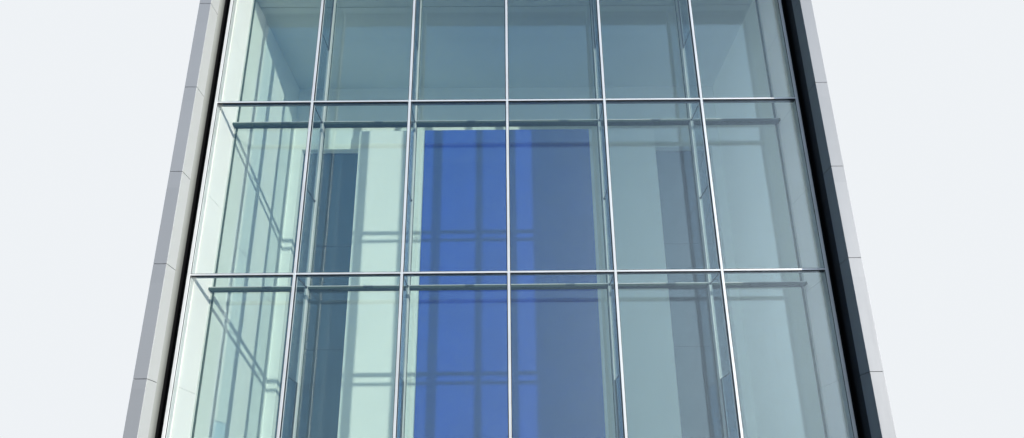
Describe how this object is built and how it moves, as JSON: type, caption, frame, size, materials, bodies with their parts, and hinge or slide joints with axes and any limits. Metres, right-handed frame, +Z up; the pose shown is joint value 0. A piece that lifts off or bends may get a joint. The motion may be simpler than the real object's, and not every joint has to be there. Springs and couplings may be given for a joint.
{
  "type": "town hall building",
  "caption": "Metal clad tube-like town hall building with a tall hall behind a double glass front and a blue wall panel inside.",
  "frame": {"origin": "middle of the footprint, on the ground", "axes": "+X to the right seen from the front, +Y from the front to the rear, +Z up; the glass front looks towards -Y"},
  "size_m": [12.7, 16, 13.65],
  "materials": {
    "concrete_floor": "honed",
    "concrete": "rough",
    "hall_plaster": "matt",
    "display_plaster": "matt",
    "cavity_plaster": "matt",
    "ceiling_plaster": "matt",
    "metal_cladding": "satin",
    "roof_sheet": "matt",
    "grey_lining": "satin",
    "satin_bars": "satin",
    "inner_bars": "satin",
    "door_metal": "satin",
    "dark_steel": "satin",
    "blue_paint": "matt",
    "dark_screen": "gloss",
    "clear_glass": "clear",
    "insulated_glass": "clear",
    "plate_glass": "clear",
    "lower_plate_glass": "clear"
  },
  "bodies": {
    "root": {"floor_slab": "concrete_floor", "left_wall": "hall_plaster", "right_wall": "hall_plaster", "roof_slab": "concrete", "left_cladding": "metal_cladding", "right_cladding": "metal_cladding", "roof_cladding": "metal_cladding", "roof_sheet": "roof_sheet", "front_gap_lining": "grey_lining", "rear_gap_lining": "grey_lining", "outer_frame": "satin_bars", "outer_glass_entrance": "clear_glass", "outer_glass_lower": "clear_glass", "outer_glass_middle": "clear_glass", "outer_glass_upper": "clear_glass", "outer_doors": "door_metal", "inner_frame": "inner_bars", "inner_glass_entrance": "insulated_glass", "inner_glass_lower": "insulated_glass", "inner_glass_middle": "insulated_glass", "inner_glass_upper": "insulated_glass", "inner_doors": "door_metal", "skin_ties": "dark_steel", "baffles_lower": "lower_plate_glass", "baffles_middle": "plate_glass", "baffles_upper": "plate_glass", "cavity_lining_left": "cavity_plaster", "cavity_lining_right": "cavity_plaster", "cavity_head": "cavity_plaster", "hall_ceiling": "ceiling_plaster", "hall_rear_wall_middle": "hall_plaster", "hall_rear_wall_left": "hall_plaster", "hall_rear_wall_right": "hall_plaster", "hall_rear_wall_head": "hall_plaster", "display_wall": "display_plaster", "blue_panel": "blue_paint", "slot_screen_left": "dark_screen", "slot_screen_right": "dark_screen", "rear_ceiling": "ceiling_plaster", "rear_frame": "satin_bars", "rear_glass_entrance": "clear_glass", "rear_glass_lower": "clear_glass", "rear_glass_middle": "clear_glass", "rear_glass_upper": "clear_glass", "rear_doors": "door_metal"}
  },
  "joints": []
}
